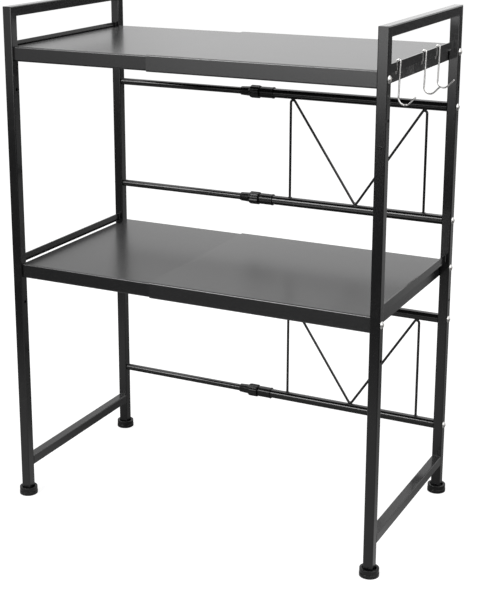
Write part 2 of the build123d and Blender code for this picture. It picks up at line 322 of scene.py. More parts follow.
@dataclass(frozen=True)
class Finish:
    """A surface finish, whose material is built once and shared by its pieces."""

    name: str
    colour: Triple
    worn_colour: Triple
    roughness: float
    worn_roughness: float
    grain_size: float
    grain_depth: float
    waviness: float = 1.0
    smudge_cells: float = 30.0
    smudge_amount: float = 0.5
    dust_cells: float = 900.0
    dust_amount: float = 0.0
    crystal_cells: float = 0.0
    drawn_out: float = 1.0

    def constants(self) -> dict[str, float]:
        """What is the same all over the surface, by the shader's own sockets."""
        return {}

    def wear(self, sheet: NodeSheet, position: NodeSocket, normal: NodeSocket) -> NodeSocket:
        """Draws the finish's smudges, and its dust and crystals where it has them.

        Args:
            sheet: The material's nodes.
            position: The object's coordinates.
            normal: The object's own normals.

        Returns:
            The mask of the worn finish.
        """
        mask = SMUDGES.put(sheet, position, self.smudge_cells, self.smudge_amount)
        if self.dust_amount:
            dust = DUST.put(sheet, position, normal, self.dust_cells, self.dust_amount)
            mask = sheet.calculate("MAXIMUM", mask, dust)
        if self.crystal_cells:
            crystals = sheet.add("ShaderNodeTexVoronoi", position, 0.0, self.crystal_cells)
            mask = sheet.calculate("MAXIMUM", mask, crystals.outputs["Color"])
        return mask

    def material(self) -> Material:
        """Builds the finish's material the first time that it is asked for.

        Returns:
            The material.
        """
        kept = bpy.data.materials.get(self.name)
        if kept:
            return kept
        material = bpy.data.materials.new(self.name)
        material.use_nodes = True
        material.diffuse_color = (*self.colour, 1.0)
        shader = material.node_tree.nodes["Principled BSDF"]
        for socket, value in self.constants().items():
            shader.inputs[socket].default_value = value
        self.paint(NodeSheet(material.node_tree), shader)
        return material

    def paint(self, sheet: NodeSheet, shader: Node) -> None:
        """Draws the wear in colour and roughness, and the grain as relief.

        Args:
            sheet: The material's nodes.
            shader: The shader to feed.
        """
        place = sheet.add("ShaderNodeTexCoord")
        position = place.outputs["Object"]
        mask = self.wear(sheet, position, place.outputs["Normal"])
        colour = sheet.blend(mask, self.colour, self.worn_colour)
        rough = sheet.spread(mask, 0.0, 1.0, self.roughness, self.worn_roughness)
        if self.drawn_out != 1.0:
            shares = (1 / self.drawn_out, 1.0, 1.0)
            position = sheet.add("ShaderNodeMapping", position, ORIGIN, ORIGIN, shares).outputs[0]
        height = GRAIN.put(sheet, position, 1 / self.grain_size, self.waviness)
        bump = sheet.add("ShaderNodeBump")
        bump.inputs["Distance"].default_value = self.grain_depth
        sheet.feed(bump.inputs["Height"], height)
        sheet.feed(shader.inputs["Base Color"], colour)
        sheet.feed(shader.inputs["Roughness"], rough)
        sheet.feed(shader.inputs["Normal"], bump.outputs[0])


@dataclass(frozen=True, kw_only=True)
class CoatedFinish(Finish):
    """A finish under a smoother skin, which shows most at a low angle."""

    specular: float
    gloss: float
    gloss_roughness: float

    def constants(self) -> dict[str, float]:
        """The finish's own reflection, and the skin's."""
        return {"Specular IOR Level": self.specular, "Coat Weight": self.gloss,
                "Coat Roughness": self.gloss_roughness}


@dataclass(frozen=True, kw_only=True)
class PowderCoat(CoatedFinish):
    """Baked powder on welded steel, with orange peel."""

    waviness: float = 1.6
    smudge_cells: float = 14.0
    dust_amount: float = 0.2


@dataclass(frozen=True, kw_only=True)
class RodEnamel(CoatedFinish):
    """Gloss enamel on drawn tube, with its waviness drawn out along the tube."""

    drawn_out: float = 25.0


@dataclass(frozen=True, kw_only=True)
class PlatedSteel(Finish):
    """Bright or dull plating over steel."""

    smudge_cells: float = 90.0
    smudge_amount: float = 0.8

    def constants(self) -> dict[str, float]:
        """What makes the surface a metal."""
        return {"Metallic": 1.0}


@dataclass(frozen=True, kw_only=True)
class MouldedPlastic(Finish):
    """Injection moulded plastic with an eroded grain from its mould."""

    waviness: float = 0.3
    smudge_cells: float = 60.0
    smudge_amount: float = 0.7
    dust_cells: float = 1500.0
    dust_amount: float = 0.4


FINISHES: dict[Slot, Finish] = {
    Slot.FRAME: PowderCoat(
        "satin_powder", (0.005, 0.005, 0.0053), (0.013, 0.0127, 0.0125), 0.24, 0.34,
        0.9 * MM, 0.008 * MM, specular=0.3, gloss=1.0, gloss_roughness=0.13),
    Slot.SHELF: PowderCoat(
        "shelf_powder", (0.009, 0.009, 0.0095), (0.016, 0.0156, 0.0156), 0.26, 0.32,
        0.7 * MM, 0.004 * MM, specular=1.0, gloss=0.47, gloss_roughness=0.23,
        smudge_amount=0.2, waviness=0.2),
    Slot.ROD: RodEnamel(
        "rod_enamel", (0.005, 0.005, 0.005), (0.01, 0.01, 0.01), 0.24, 0.28,
        1.6 * MM, 0.001 * MM, specular=0.15, gloss=1.0, gloss_roughness=0.1,
        smudge_amount=0.1),
    Slot.NICKEL: PlatedSteel(
        "nickel_plate", (0.95, 0.94, 0.92), (0.84, 0.825, 0.8), 0.28, 0.34,
        0.5 * MM, 0.001 * MM, smudge_amount=0.3),
    Slot.ZINC: PlatedSteel(
        "zinc_plate", (0.62, 0.63, 0.65), (0.48, 0.49, 0.5), 0.32, 0.45,
        0.6 * MM, 0.004 * MM, crystal_cells=400.0),
    Slot.NATURAL: MouldedPlastic(
        "natural_nylon", (0.72, 0.7, 0.62), (0.6, 0.58, 0.5), 0.42, 0.55, 0.4 * MM, 0.006 * MM),
    Slot.PLASTIC: MouldedPlastic(
        "black_nylon", (0.006, 0.006, 0.006), (0.02, 0.02, 0.02), 0.2, 0.4,
        0.35 * MM, 0.005 * MM, dust_amount=0.25),
}


def newest(made: dict[str, list], kind: type, key: str = "geom") -> list:
    """Picks the elements of one kind from an entry of what an operator returns."""
    return [item for item in made[key] if isinstance(item, kind)]


def turned(outline: Outline, steps: int, closed: bool = False) -> BMesh:
    """Turns an outline round the X axis.

    Args:
        outline: Points of distance along X and radius.
        steps: How many facets a turn has.
        closed: Whether the last point joins the first one.

    Returns:
        The turned mesh, with its faces outwards.
    """
    bm = bmesh.new()
    points = [bm.verts.new((along, 0.0, radius)) for along, radius in outline]
    ends = points[1:] + points[:1] if closed else points[1:]
    edges = [bm.edges.new(pair) for pair in zip(points, ends)]
    bmesh.ops.spin(bm, geom=points + edges, cent=(0, 0, 0), axis=(1, 0, 0), angle=math.tau,
                   steps=steps, use_merge=True)
    bmesh.ops.remove_doubles(bm, verts=bm.verts[:], dist=MERGE)
    bmesh.ops.recalc_face_normals(bm, faces=bm.faces[:])
    return bm


def soften(bm: BMesh, width: float, segments: int) -> None:
    """Rounds the sharp edges of a mesh.

    Args:
        bm: The mesh.
        width: The width of the rounding.
        segments: Its number of facets.
    """
    sharp = [edge for edge in bm.edges
             if edge.is_manifold and edge.calc_face_angle() > LEAST_ROUNDED]
    bmesh.ops.bevel(bm, geom=sharp, offset=width, offset_type="OFFSET", affect="EDGES",
                    segments=segments, profile=0.5, material=-1, clamp_overlap=True)


def placed(bm: BMesh, matrix: Matrix) -> BMesh:
    """Moves a whole mesh and returns it."""
    bmesh.ops.transform(bm, matrix=matrix, verts=bm.verts[:])
    return bm


def middle(node: str) -> Vector:
    """The middle of a node's box."""
    low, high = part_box(node)
    return (low + high) / 2


def laid(bm: BMesh, node: str, along: Along) -> BMesh:
    """Lays a mesh that was turned round the X axis through the middle of a node's box.

    Args:
        bm: The mesh, which starts at the origin.
        node: The node that it stands for.
        along: The axis that it runs along, from the low end of the box.

    Returns:
        The mesh, in place.
    """
    turns = {Along.WIDTH: Matrix.Identity(4), Along.DEPTH: Matrix.Rotation(math.pi / 2, 4, "Z"),
             Along.HEIGHT: Matrix.Rotation(-math.pi / 2, 4, "Y")}
    start = middle(node)
    start[along.value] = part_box(node)[0][along.value]
    return placed(bm, Matrix.Translation(start) @ turns[along])


def joined(meshes: Sequence[BMesh]) -> BMesh:
    """Puts several meshes into one.

    Args:
        meshes: The meshes, which are freed.

    Returns:
        The one mesh.
    """
    whole = bmesh.new()
    for bm in meshes:
        part = bpy.data.meshes.new("part")
        bm.to_mesh(part)
        bm.free()
        whole.from_mesh(part)
        bpy.data.meshes.remove(part)
    return whole


def finished(name: str, bm: BMesh, slot: Slot, body: str, *, replaces: Sequence[str] = (),
             sharp_angle: float = 35.0) -> None:
    """Makes a mesh a piece of the rack.

    Args:
        name: The piece's name.
        bm: Its mesh, in place. It is freed.
        slot: The material slot that gives its finish.
        body: The body that it rides on.
        replaces: The nodes that it stands for.
        sharp_angle: The least angle, in degrees, that is shaded as an edge.
    """
    mesh = bpy.data.meshes.new(name)
    bm.to_mesh(mesh)
    bm.free()
    mesh.polygons.foreach_set("use_smooth", [True] * len(mesh.polygons))
    mesh.set_sharp_from_angle(angle=math.radians(sharp_angle))
    mesh.materials.append(FINISHES[slot].material())
    piece = bpy.data.objects.new(name, mesh)
    bpy.context.scene.collection.objects.link(piece)
    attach(piece, body)
    if replaces:
        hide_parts(*replaces)
    log.info("%s: %d faces on %s", name, len(mesh.polygons), body)


class WireRun:
    """Round wire that is laid down from its start by straight runs and bends."""

    dome_rings: int = 4
    tip_share: float = 0.02

    def __init__(self, start: Vector, heading: Vector, radius: float, facets: int) -> None:
        """Starts the wire with one ring.

        Args:
            start: The middle of the first ring.
            heading: The direction in which the wire sets off.
            radius: The wire's radius.
            facets: How many facets it has round it.
        """
        self.bm = bmesh.new()
        self.radius = radius
        self.place = start.copy()
        self.heading = heading.normalized()
        turn = self.heading.to_track_quat("Z", "Y").to_matrix().to_4x4()
        bmesh.ops.create_circle(self.bm, radius=radius, segments=facets,
                                matrix=Matrix.Translation(start) @ turn)
        self.ring = self.bm.edges[:]
        self.first = (self.ring, start.copy(), -self.heading)

    def straight(self, length: float) -> "WireRun":
        """Lays a straight run.

        Args:
            length: How long the run is.

        Returns:
            The wire.
        """
        made = bmesh.ops.extrude_edge_only(self.bm, edges=self.ring)
        bmesh.ops.translate(self.bm, verts=newest(made, BMVert), vec=self.heading * length)
        self.ring = [edge for edge in newest(made, BMEdge) if edge.is_boundary]
        self.place += self.heading * length
        return self

    def bend(self, centre: Vector, axis: Vector, angle: float, steps: int) -> "WireRun":
        """Lays a bend.

        Args:
            centre: The middle of the bend.
            axis: The direction that it turns about.
            angle: How far it turns, in radians.
            steps: Its number of straight facets.

        Returns:
            The wire.
        """
        points = list({point for edge in self.ring for point in edge.verts})
        made = bmesh.ops.spin(self.bm, geom=points + self.ring, cent=centre, axis=axis,
                              angle=angle, steps=steps)
        self.ring = newest(made, BMEdge, "geom_last")
        turn = Matrix.Rotation(angle, 3, axis)
        self.place = centre + turn @ (self.place - centre)
        self.heading = turn @ self.heading
        return self

    def rounded(self) -> BMesh:
        """Closes both ends of the wire with a dome, whose last ring keeps a share of the radius.

        Returns:
            The wire's mesh.
        """
        for ring, place, heading in (self.first, (self.ring, self.place, self.heading)):
            for step in range(self.dome_rings):
                before = math.pi / 2 * step / self.dome_rings
                angle = math.pi / 2 * (step + 1) / self.dome_rings
                made = bmesh.ops.extrude_edge_only(self.bm, edges=ring)
                points = newest(made, BMVert)
                shrink = max(math.cos(angle), self.tip_share) / math.cos(before)
                bmesh.ops.scale(self.bm, verts=points, vec=(shrink,) * 3,
                                space=Matrix.Translation(-place))
                rise = self.radius * (math.sin(angle) - math.sin(before))
                place = place + heading * rise
                bmesh.ops.translate(self.bm, verts=points, vec=heading * rise)
                ring = [edge for edge in newest(made, BMEdge) if edge.is_boundary]
            bmesh.ops.contextual_create(self.bm, geom=ring)
        bmesh.ops.recalc_face_normals(self.bm, faces=self.bm.faces[:])
        return self.bm


@dataclass(frozen=True)
class Thread:
    """A screw thread whose ridge winds round a core."""

    core: float
    crest: float
    pitch: float
    facets: int = 24
    crest_shares: tuple[float, float] = (0.42, 0.58)

    def ridge(self, length: float) -> BMesh:
        """Winds the ridge round the X axis, from the origin along +X.

        Args:
            length: How far the thread runs.

        Returns:
            The ridge, closed at both ends.
        """
        sunk = self.core - (self.crest - self.core) / 4
        crests = [(self.pitch * share, self.crest) for share in self.crest_shares]
        outline = [(0.0, sunk), (0.0, self.core), *crests, (self.pitch, self.core),
                   (self.pitch, sunk)]
        bm = bmesh.new()
        face = bm.faces.new([bm.verts.new((along, 0.0, radius)) for along, radius in outline])
        turns = (length - self.pitch) / self.pitch
        bmesh.ops.spin(bm, geom=[face], cent=(0, 0, 0), axis=(1, 0, 0), angle=math.tau * turns,
                       dvec=(self.pitch / self.facets, 0, 0), steps=round(turns * self.facets))
        bmesh.ops.recalc_face_normals(bm, faces=bm.faces[:])
        return bm


@dataclass(frozen=True)
class WeldBead:
    """A short rippled bead that fills the corner between two pieces."""

    radius: float = 1.3 * MM
    pitch: float = 1.5 * MM
    ripple: float = 0.12
    cuts: int = 6
    end_share: float = 0.35
    facets: int = 12
    spot_facets: tuple[int, int] = (24, 14)
    spot_lobes: int = 7

    def along(self, start: Vector, end: Vector) -> BMesh:
        """Lays the bead from one point to another.

        Args:
            start: Where the bead begins.
            end: Where it ends.

        Returns:
            The bead's mesh.
        """
        run = end - start
        half = run.length / 2
        cuts = max(self.cuts, round(run.length / self.pitch * self.cuts))
        bm = bmesh.new()
        bmesh.ops.create_cone(bm, cap_ends=True, segments=self.facets, radius1=self.radius,
                              radius2=self.radius, depth=run.length)
        long_edges = [edge for edge in bm.edges
                      if abs(edge.verts[0].co.z - edge.verts[1].co.z) > half]
        bmesh.ops.subdivide_edges(bm, edges=long_edges, cuts=cuts)
        for point in bm.verts:
            inset = min(1.0, (half - abs(point.co.z)) / self.radius)
            dome = math.sqrt(max(0.0, 1 - (1 - inset) ** 2))
            taper = self.end_share + (1 - self.end_share) * dome
            swell = 1 + self.ripple * math.cos(math.tau * point.co.z / self.pitch)
            point.co.x *= taper * swell
            point.co.y *= taper * swell
        turn = run.to_track_quat("Z", "Y").to_matrix().to_4x4()
        return placed(bm, Matrix.Translation((start + end) / 2) @ turn)

    def spot(self, place: Vector, half_sizes: Triple) -> BMesh:
        """Lays a round spot of weld.

        Args:
            place: The middle of the spot.
            half_sizes: Its half sizes along the three axes.

        Returns:
            The spot's mesh.
        """
        bm = bmesh.new()
        segments, rings = self.spot_facets
        bmesh.ops.create_uvsphere(bm, u_segments=segments, v_segments=rings, radius=1.0)
        for point in bm.verts:
            around = math.atan2(point.co.y, point.co.x)
            swell = 1 + self.ripple * math.cos(self.spot_lobes * around) * (1 - point.co.z ** 2)
            point.co.x *= swell
            point.co.y *= swell
        return placed(bm, Matrix.Translation(place) @ Matrix.Diagonal((*half_sizes, 1.0)))


@dataclass(frozen=True)
class SideFrame:
    """One welded side frame: it dresses the weld beads at its corners and rails."""

    side: Side
    bead: WeldBead = WeldBead()
    rail_bead: WeldBead = WeldBead(radius=1.0 * MM)
    corner: float = 1.6 * MM

    def build(self) -> None:
        """Makes the beads at the ends of the bottom bar, the top bar and the rails as one piece."""
        bar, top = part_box(self.side.named("bottom_bar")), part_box(self.side.named("top_bar"))
        depth = top[1].z - top[0].z
        ends = [(bar, across.y, up.z) for across in bar for up in bar]
        ends += [(top, top[0].y + depth, top[0].z), (top, top[1].y - depth, top[0].z)]
        beads = [self.bead.along(Vector((low.x + self.corner, y, z)),
                                 Vector((high.x - self.corner, y, z)))
                 for (low, high), y, z in ends]
        for rail in ("upper_rail", "lower_rail"):
            low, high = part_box(self.side.named(rail))
            beads += [self.rail_bead.along(Vector((x, y, low.z)), Vector((x, y, high.z)))
                      for x in (low.x, high.x) for y in (low.y, high.y)]
        finished(self.side.named("frame_welds"), joined(beads), Slot.FRAME, self.side.body,
                 sharp_angle=60.0)


@dataclass(frozen=True)
class SideScrews:
    """A side's domed screws, with a hexagon socket in each head."""

    side: Side
    head_radius: float = 5.5 * MM
    head_rise: float = 3.0 * MM
    shank_radius: float = 2.0 * MM
    socket_width: float = 4.0 * MM
    socket_depth: float = 1.9 * MM
    edge: float = 0.12 * MM
    facets: int = 48
    dome_steps: int = 7
    block_half: float = 6.0 * MM

    def build(self) -> None:
        """Makes the side's screws as one piece, each where its own solid stands."""
        node = self.side.named("screws")
        low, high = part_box(node)
        post_low, post_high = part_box(self.side.named("front_post"))
        right = self.side is Side.RIGHT
        face = post_high.x if right else post_low.x
        length = face - low.x if right else high.x - face
        turn = Matrix.Rotation(math.pi if right else 0.0, 4, "Z")
        screws = [placed(self.screw(length), Matrix.Translation((face, y, z)) @ turn)
                  for y, z in self.places()]
        finished(f"{node}_polished", joined(screws), Slot.NICKEL, self.side.body,
                 replaces=[node], sharp_angle=30.0)

    def screw(self, length: float) -> BMesh:
        """Turns one screw whose shank starts at the origin and runs along +X.

        Args:
            length: The shank's length.

        Returns:
            The screw's mesh, with its head towards -X.
        """
        rim = self.socket_width / math.sqrt(3) + self.edge
        ball = (self.head_radius ** 2 + self.head_rise ** 2) / (2 * self.head_rise)
        middle_x = ball - self.head_rise
        start, end = math.asin(self.head_radius / ball), math.asin(rim / ball)
        angles = [start + (end - start) * step / self.dome_steps
                  for step in range(self.dome_steps + 1)]
        dome = [(middle_x - ball * math.cos(angle), ball * math.sin(angle)) for angle in angles]
        top = dome[-1][0]
        socket = self.socket_width / 2
        floor = top + self.socket_depth
        outline = [(length, 0.0), (length, self.shank_radius), (0.0, self.shank_radius), *dome,
                   (top, socket), (floor, socket), (floor + socket / 3, 0.0)]
        bm = turned(outline, self.facets)
        for point in bm.verts:
            radius = math.hypot(point.co.y, point.co.z)
            if abs(radius - socket) < self.edge / 10 and point.co.x < floor + self.edge:
                slant = math.atan2(point.co.z, point.co.y) % (math.pi / 3) - math.pi / 6
                point.co.y /= math.cos(slant)
                point.co.z /= math.cos(slant)
        return bm

    def places(self) -> list[tuple[float, float]]:
        """Finds the screws: one for each shelf in each post, and one for each rod.

        Returns:
            The Y and Z of each screw.
        """
        front, rear = (middle(self.side.named(f"{end}_post")).y for end in POST_PLACES)
        tray = "inner" if self.side is Side.LEFT else "outer"
        low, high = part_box(f"{tray}_tray_nut_blocks")
        shelves = (high.z - self.block_half, low.z + self.block_half)
        rods = [middle(f"thin_tube_{number}").z for number in RODS]
        return [(y, z) for z in shelves for y in (front, rear)] + [(rear, z) for z in rods]


@dataclass(frozen=True)
class TwistLock:
    """The twist lock of one back rod: a lobed nut and the sleeve that it turns on."""

    number: int
    barrel: float = 15.0 * MM
    cone: float = 3.5 * MM
    tip_radius: float = 7.0 * MM
    barrel_radius: float = 7.75 * MM
    bore_radius: float = 5.8 * MM
    spigot_radius: float = 7.9 * MM
    clearance: float = 0.05 * MM
    grip_rings: int = 6
    lobes: int = 10
    flute_depth: float = 1.0 * MM
    flute_power: float = 1.4
    flute_slack: float = 0.02 * MM
    nut_rounding: float = 0.8 * MM
    thread_depth: float = 0.45 * MM
    thread_pitch: float = 0.75 * MM
    thread_facets: int = 36
    sleeve_radius: float = 8.9 * MM
    sleeve_chamfer: float = 1.6 * MM
    sleeve_rounding: float = 0.35 * MM
    lip: float = 2.5 * MM
    lip_slope: float = 0.4 * MM
    groove: float = 1.5 * MM
    facets: int = 120

    @property
    def nut(self) -> str:
        """The nut's node."""
        return f"lock_nut_{self.number}"

    def build(self) -> None:
        """Makes the nut and the sleeve."""
        self.build_nut()
        self.build_sleeve()

    def build_nut(self) -> None:
        """Turns the nut, rounds its edges and presses the flutes into its grip."""
        low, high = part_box(self.nut)
        length, grip = high.x - low.x, (high.z - low.z) / 2
        cone_end = self.barrel + self.cone
        step = (length - cone_end) / self.grip_rings
        rings = [(cone_end + step * ring, grip) for ring in range(self.grip_rings + 1)]
        hollow = self.spigot_radius + self.clearance
        outline = [(0.0, self.bore_radius), (0.0, self.tip_radius),
                   (self.barrel, self.barrel_radius),
                   (self.barrel + self.cone / 2, (self.barrel_radius + grip) / 2), *rings,
                   (length, hollow), (length / 2, hollow), (length / 2, self.bore_radius)]
        bm = turned(outline, self.facets, closed=True)
        soften(bm, self.nut_rounding, 4)
        for point in bm.verts:
            radius = math.hypot(point.co.y, point.co.z)
            if radius < self.barrel_radius + self.flute_slack:
                continue
            run_in = max(0.0, min(1.0, (point.co.x - self.barrel) / self.cone))
            wave = 0.5 + 0.5 * math.cos(self.lobes * math.atan2(point.co.z, point.co.y))
            share = 1 - self.flute_depth * run_in * wave ** self.flute_power / radius
            point.co.y *= share
            point.co.z *= share
        finished(f"{self.nut}_lobed", laid(bm, self.nut, Along.WIDTH), Slot.PLASTIC,
                 f"twist_lock_{self.number}", replaces=[self.nut], sharp_angle=40.0)

    def build_sleeve(self) -> None:
        """Turns the sleeve with its lip, and the thread that shows in the groove."""
        node = f"lock_sleeve_{self.number}"
        low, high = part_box(node)
        length, lip_radius = high.x - low.x, (high.z - low.z) / 2
        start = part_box(self.nut)[1].x - low.x + self.groove
        tube_low, tube_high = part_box(f"thick_tube_{self.number}")
        shoulder = tube_low.x - low.x
        seat = (tube_high.z - tube_low.z) / 2 + self.clearance
        core = self.spigot_radius - self.thread_depth
        lip_start = length - self.lip
        outline = [(0.0, self.bore_radius), (0.0, core), (start, core), (start, self.spigot_radius),
                   (start + self.sleeve_chamfer, self.sleeve_radius),
                   (lip_start, self.sleeve_radius), (lip_start + self.lip_slope, lip_radius),
                   (length, lip_radius), (length, seat), (shoulder, seat),
                   (shoulder, self.bore_radius)]
        bm = turned(outline, self.facets, closed=True)
        soften(bm, self.sleeve_rounding, 3)
        thread = Thread(core, self.spigot_radius, self.thread_pitch, self.thread_facets)
        whole = laid(joined([bm, thread.ridge(start)]), node, Along.WIDTH)
        finished(f"{node}_moulded", whole, Slot.PLASTIC, Side.RIGHT.body, replaces=[node],
                 sharp_angle=40.0)


@dataclass(frozen=True)
class BraceWelds:
    """The spots of weld that hold one bent-wire brace to its two rods."""

    name: str
    upper_rod: int
    lower_rod: int
    wire_radius: float = 2.0 * MM
    bend: float = 4.0 * MM
    spot_size: Triple = (3.4 * MM, 2.9 * MM, 1.3 * MM)
    bead: WeldBead = WeldBead()

    def build(self) -> None:
        """Makes the brace's five spots as one piece."""
        low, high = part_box(self.name)
        left, right = low.x + self.wire_radius, high.x - self.wire_radius
        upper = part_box(f"thick_tube_{self.upper_rod}")[0].z
        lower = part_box(f"thick_tube_{self.lower_rod}")[1].z
        y = middle(self.name).y
        places = [(left + self.bend, upper), (right - self.bend, upper), (left, lower),
                  ((left + right) / 2, lower), (right, lower)]
        spots = [self.bead.spot(Vector((x, y, z)), self.spot_size) for x, z in places]
        finished(f"{self.name}_welds", joined(spots), Slot.ROD, Side.RIGHT.body, sharp_angle=60.0)


@dataclass(frozen=True)
class Hook:
    """One bent-wire hook that hangs over the right upper rail."""

    number: int
    radius: float = 1.2 * MM
    side_gap: float = 0.65 * MM
    rest_gap: float = 0.3 * MM
    inner_leg: float = 16.0 * MM
    shank: float = 48.5 * MM
    crook_radius: float = 8.8 * MM
    crook_turn: float = math.radians(137.0)
    tip: float = 12.3 * MM
    tilt: float = math.radians(1.5)
    facets: int = 20
    top_steps: int = 28
    crook_steps: int = 36

    def build(self) -> None:
        """Lays the hook's wire over the rail and rounds its ends."""
        node = f"hook_{self.number}"
        rail_low, rail_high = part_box("right_upper_rail")
        half_rail = (rail_high.x - rail_low.x) / 2
        inside = half_rail + self.side_gap
        bend = inside + self.radius
        top = rail_high.z - math.sqrt((inside - self.rest_gap) ** 2 - half_rail ** 2)
        over, back = Vector((0, 1, 0)), Vector((0, -1, 0))
        crook = Vector((bend + self.crook_radius, 0, -self.shank))
        wire = WireRun(Vector((-bend, 0, -self.inner_leg)), Vector((0, 0, 1)), self.radius,
                       self.facets)
        wire.straight(self.inner_leg).bend(Vector(), over, math.pi, self.top_steps)
        wire.straight(self.shank).bend(crook, back, self.crook_turn, self.crook_steps)
        wire.straight(self.tip)
        place = Matrix.Translation(((rail_low.x + rail_high.x) / 2, middle(node).y, top))
        mesh = placed(wire.rounded(), place @ Matrix.Rotation(self.tilt, 4, "Y"))
        finished(f"{node}_wire", mesh, Slot.NICKEL, f"sliding_hook_{self.number}",
                 replaces=[node], sharp_angle=50.0)


@dataclass(frozen=True)
class LevellingFoot:
    """One moulded foot on its threaded stem."""

    name: str
    rim: float = 5.2 * MM
    groove: float = 1.4 * MM
    groove_radius: float = 13.4 * MM
    top_radius: float = 14.2 * MM
    dish_radius: float = 10.6 * MM
    dish_depth: float = 3.3 * MM
    dish_taper: float = 0.4 * MM
    rounding: float = 0.7 * MM
    facets: int = 96
    stem_clearance: float = 0.05 * MM
    stem_facets: int = 24
    thread_depth: float = 0.5 * MM
    thread_pitch: float = 1.0 * MM

    def build(self) -> None:
        """Makes the foot and its threaded stem."""
        foot, stem, body = f"{self.name}_foot", f"{self.name}_foot_stem", f"{self.name}_leveller"
        finished(f"{foot}_moulded", laid(self.pad(foot, stem), foot, Along.HEIGHT),
                 Slot.PLASTIC, body, replaces=[foot])
        low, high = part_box(stem)
        length, crest = high.z - low.z, (high.x - low.x) / 2
        core = crest - self.thread_depth
        bar = turned([(0.0, 0.0), (0.0, core), (length, core), (length, 0.0)], self.stem_facets)
        screw = joined([bar, Thread(core, crest, self.thread_pitch).ridge(length)])
        finished(f"{stem}_threaded", laid(screw, stem, Along.HEIGHT), Slot.ZINC, body,
                 replaces=[stem], sharp_angle=30.0)

    def pad(self, foot: str, stem: str) -> BMesh:
        """Turns the foot's two rims, its groove and its dish round the X axis.

        Args:
            foot: The foot's node.
            stem: The node of the stem that stands in it.

        Returns:
            The foot's mesh, with its sole at the origin.
        """
        low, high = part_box(foot)
        height, radius = high.z - low.z, (high.x - low.x) / 2
        stem_low, stem_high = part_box(stem)
        bore = (stem_high.x - stem_low.x) / 2 + self.stem_clearance
        seat = stem_low.z - low.z
        groove_end = self.rim + self.groove
        dish = height - self.dish_depth
        outline = [(0.0, 0.0), (0.0, radius), (self.rim, radius), (self.rim, self.groove_radius),
                   (groove_end, self.groove_radius), (groove_end, self.top_radius),
                   (height, self.top_radius), (height, self.dish_radius),
                   (dish, self.dish_radius - self.dish_taper), (dish, bore), (seat, bore),
                   (seat, 0.0)]
        bm = turned(outline, self.facets)
        soften(bm, self.rounding, 3)
        return bm


@dataclass(frozen=True)
class PostPlug:
    """The small plug with a hollow middle in the hole of the right front post."""

    hollow_share: float = 0.4
    hollow_depth: float = 0.6
    top_share: float = 0.75
    rim_share: float = 0.7
    shank_radius: float = 2.2 * MM
    rounding: float = 0.15 * MM
    facets: int = 64

    def build(self) -> None:
        """Turns the plug's domed flange, its hollow middle and its shank."""
        node = "post_hole_plug"
        low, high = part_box(node)
        radius, length = (high.x - low.x) / 2, high.y - low.y
        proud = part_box("right_front_post")[0].y - low.y
        hollow, bottom = radius * self.hollow_share, proud * self.hollow_depth
        outline = [(length, 0.0), (length, self.shank_radius), (proud, self.shank_radius),
                   (proud, radius), (proud * self.rim_share, radius),
                   (0.0, radius * self.top_share), (0.0, hollow), (bottom, hollow), (bottom, 0.0)]
        bm = turned(outline, self.facets)
        soften(bm, self.rounding, 2)
        finished(f"{node}_domed", laid(bm, node, Along.DEPTH), Slot.PLASTIC, Side.RIGHT.body,
                 replaces=[node])


@dataclass(frozen=True)
class CarriedNodes:
    """The nodes whose shape is right as it is: they only get their finish."""

    inner_tray_ending: str = "_inner_tray"
    inner_tray_finish: Finish = replace(FINISHES[Slot.SHELF], name="inner_shelf_powder",
                                        specular=0.6, gloss=0.52)

    def build(self) -> None:
        """Gives each of the frame's nodes the finish of its slot, and the inner trays their own."""
        for name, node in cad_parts.items():
            slot = Slot(node.data.materials[0].name.split(".")[0])
            inner_tray = name.endswith(self.inner_tray_ending)
            finish = self.inner_tray_finish if inner_tray else FINISHES[slot]
            node.material_slots[0].material = finish.material()
            log.info("%s: finish %s", name, finish.name)


@dataclass(frozen=True)
class Camera:
    """The photograph's camera, from a fit to the rack's edges, with its frame in pixels."""

    frame_width: float = 486.0
    frame_height: float = 600.0
    focal: float = 1346.9
    centre_across: float = 215.0
    centre_down: float = 225.0
    turn: float = math.radians(27.12)
    pitch: float = math.radians(-14.76)
    roll: float = math.radians(-0.12)
    place: Triple = (881.3 * MM, -1793.3 * MM, 972.8 * MM)
    sensor: float = 36.0
    clip: tuple[float, float] = (0.05, 60.0)

    def build(self) -> None:
        """Makes the camera and hands it to the scene."""
        data = bpy.data.cameras.new("camera")
        data.sensor_width = self.sensor
        data.lens = self.focal / self.frame_height * self.sensor
        data.shift_x = (self.frame_width / 2 - self.centre_across) / self.frame_height
        data.shift_y = (self.centre_down - self.frame_height / 2) / self.frame_height
        data.clip_start, data.clip_end = self.clip
        camera = bpy.data.objects.new("camera", data)
        turn = Matrix.Rotation(self.turn, 4, "Z")
        tilt = Matrix.Rotation(math.pi / 2 + self.pitch, 4, "X")
        roll = Matrix.Rotation(self.roll, 4, "Z")
        camera.matrix_world = Matrix.Translation(self.place) @ turn @ tilt @ roll
        bpy.context.scene.collection.objects.link(camera)
        bpy.context.scene.camera = camera


@dataclass(frozen=True)
class Lamp:
    """One soft lamp that aims at the rack."""

    name: str
    place: Triple
    width: float
    height: float
    power: float
    aim: Triple = (0.0, 0.0, 0.42)

    def build(self) -> None:
        """Makes the lamp."""
        data = bpy.data.lights.new(self.name, "AREA")
        data.shape = "RECTANGLE"
        data.size, data.size_y = self.width, self.height
        data.energy = self.power
        lamp = bpy.data.objects.new(self.name, data)
        run = Vector(self.aim) - Vector(self.place)
        turn = run.to_track_quat("-Z", "Y").to_matrix().to_4x4()
        lamp.matrix_world = Matrix.Translation(self.place) @ turn
        bpy.context.scene.collection.objects.link(lamp)


@dataclass(frozen=True)
class Grade:
    """A smooth change of strength between two places on an axis, or two distances."""

    along: Along
    start: float
    end: float
    before: float
    after: float


Glow = tuple[Grade, ...]


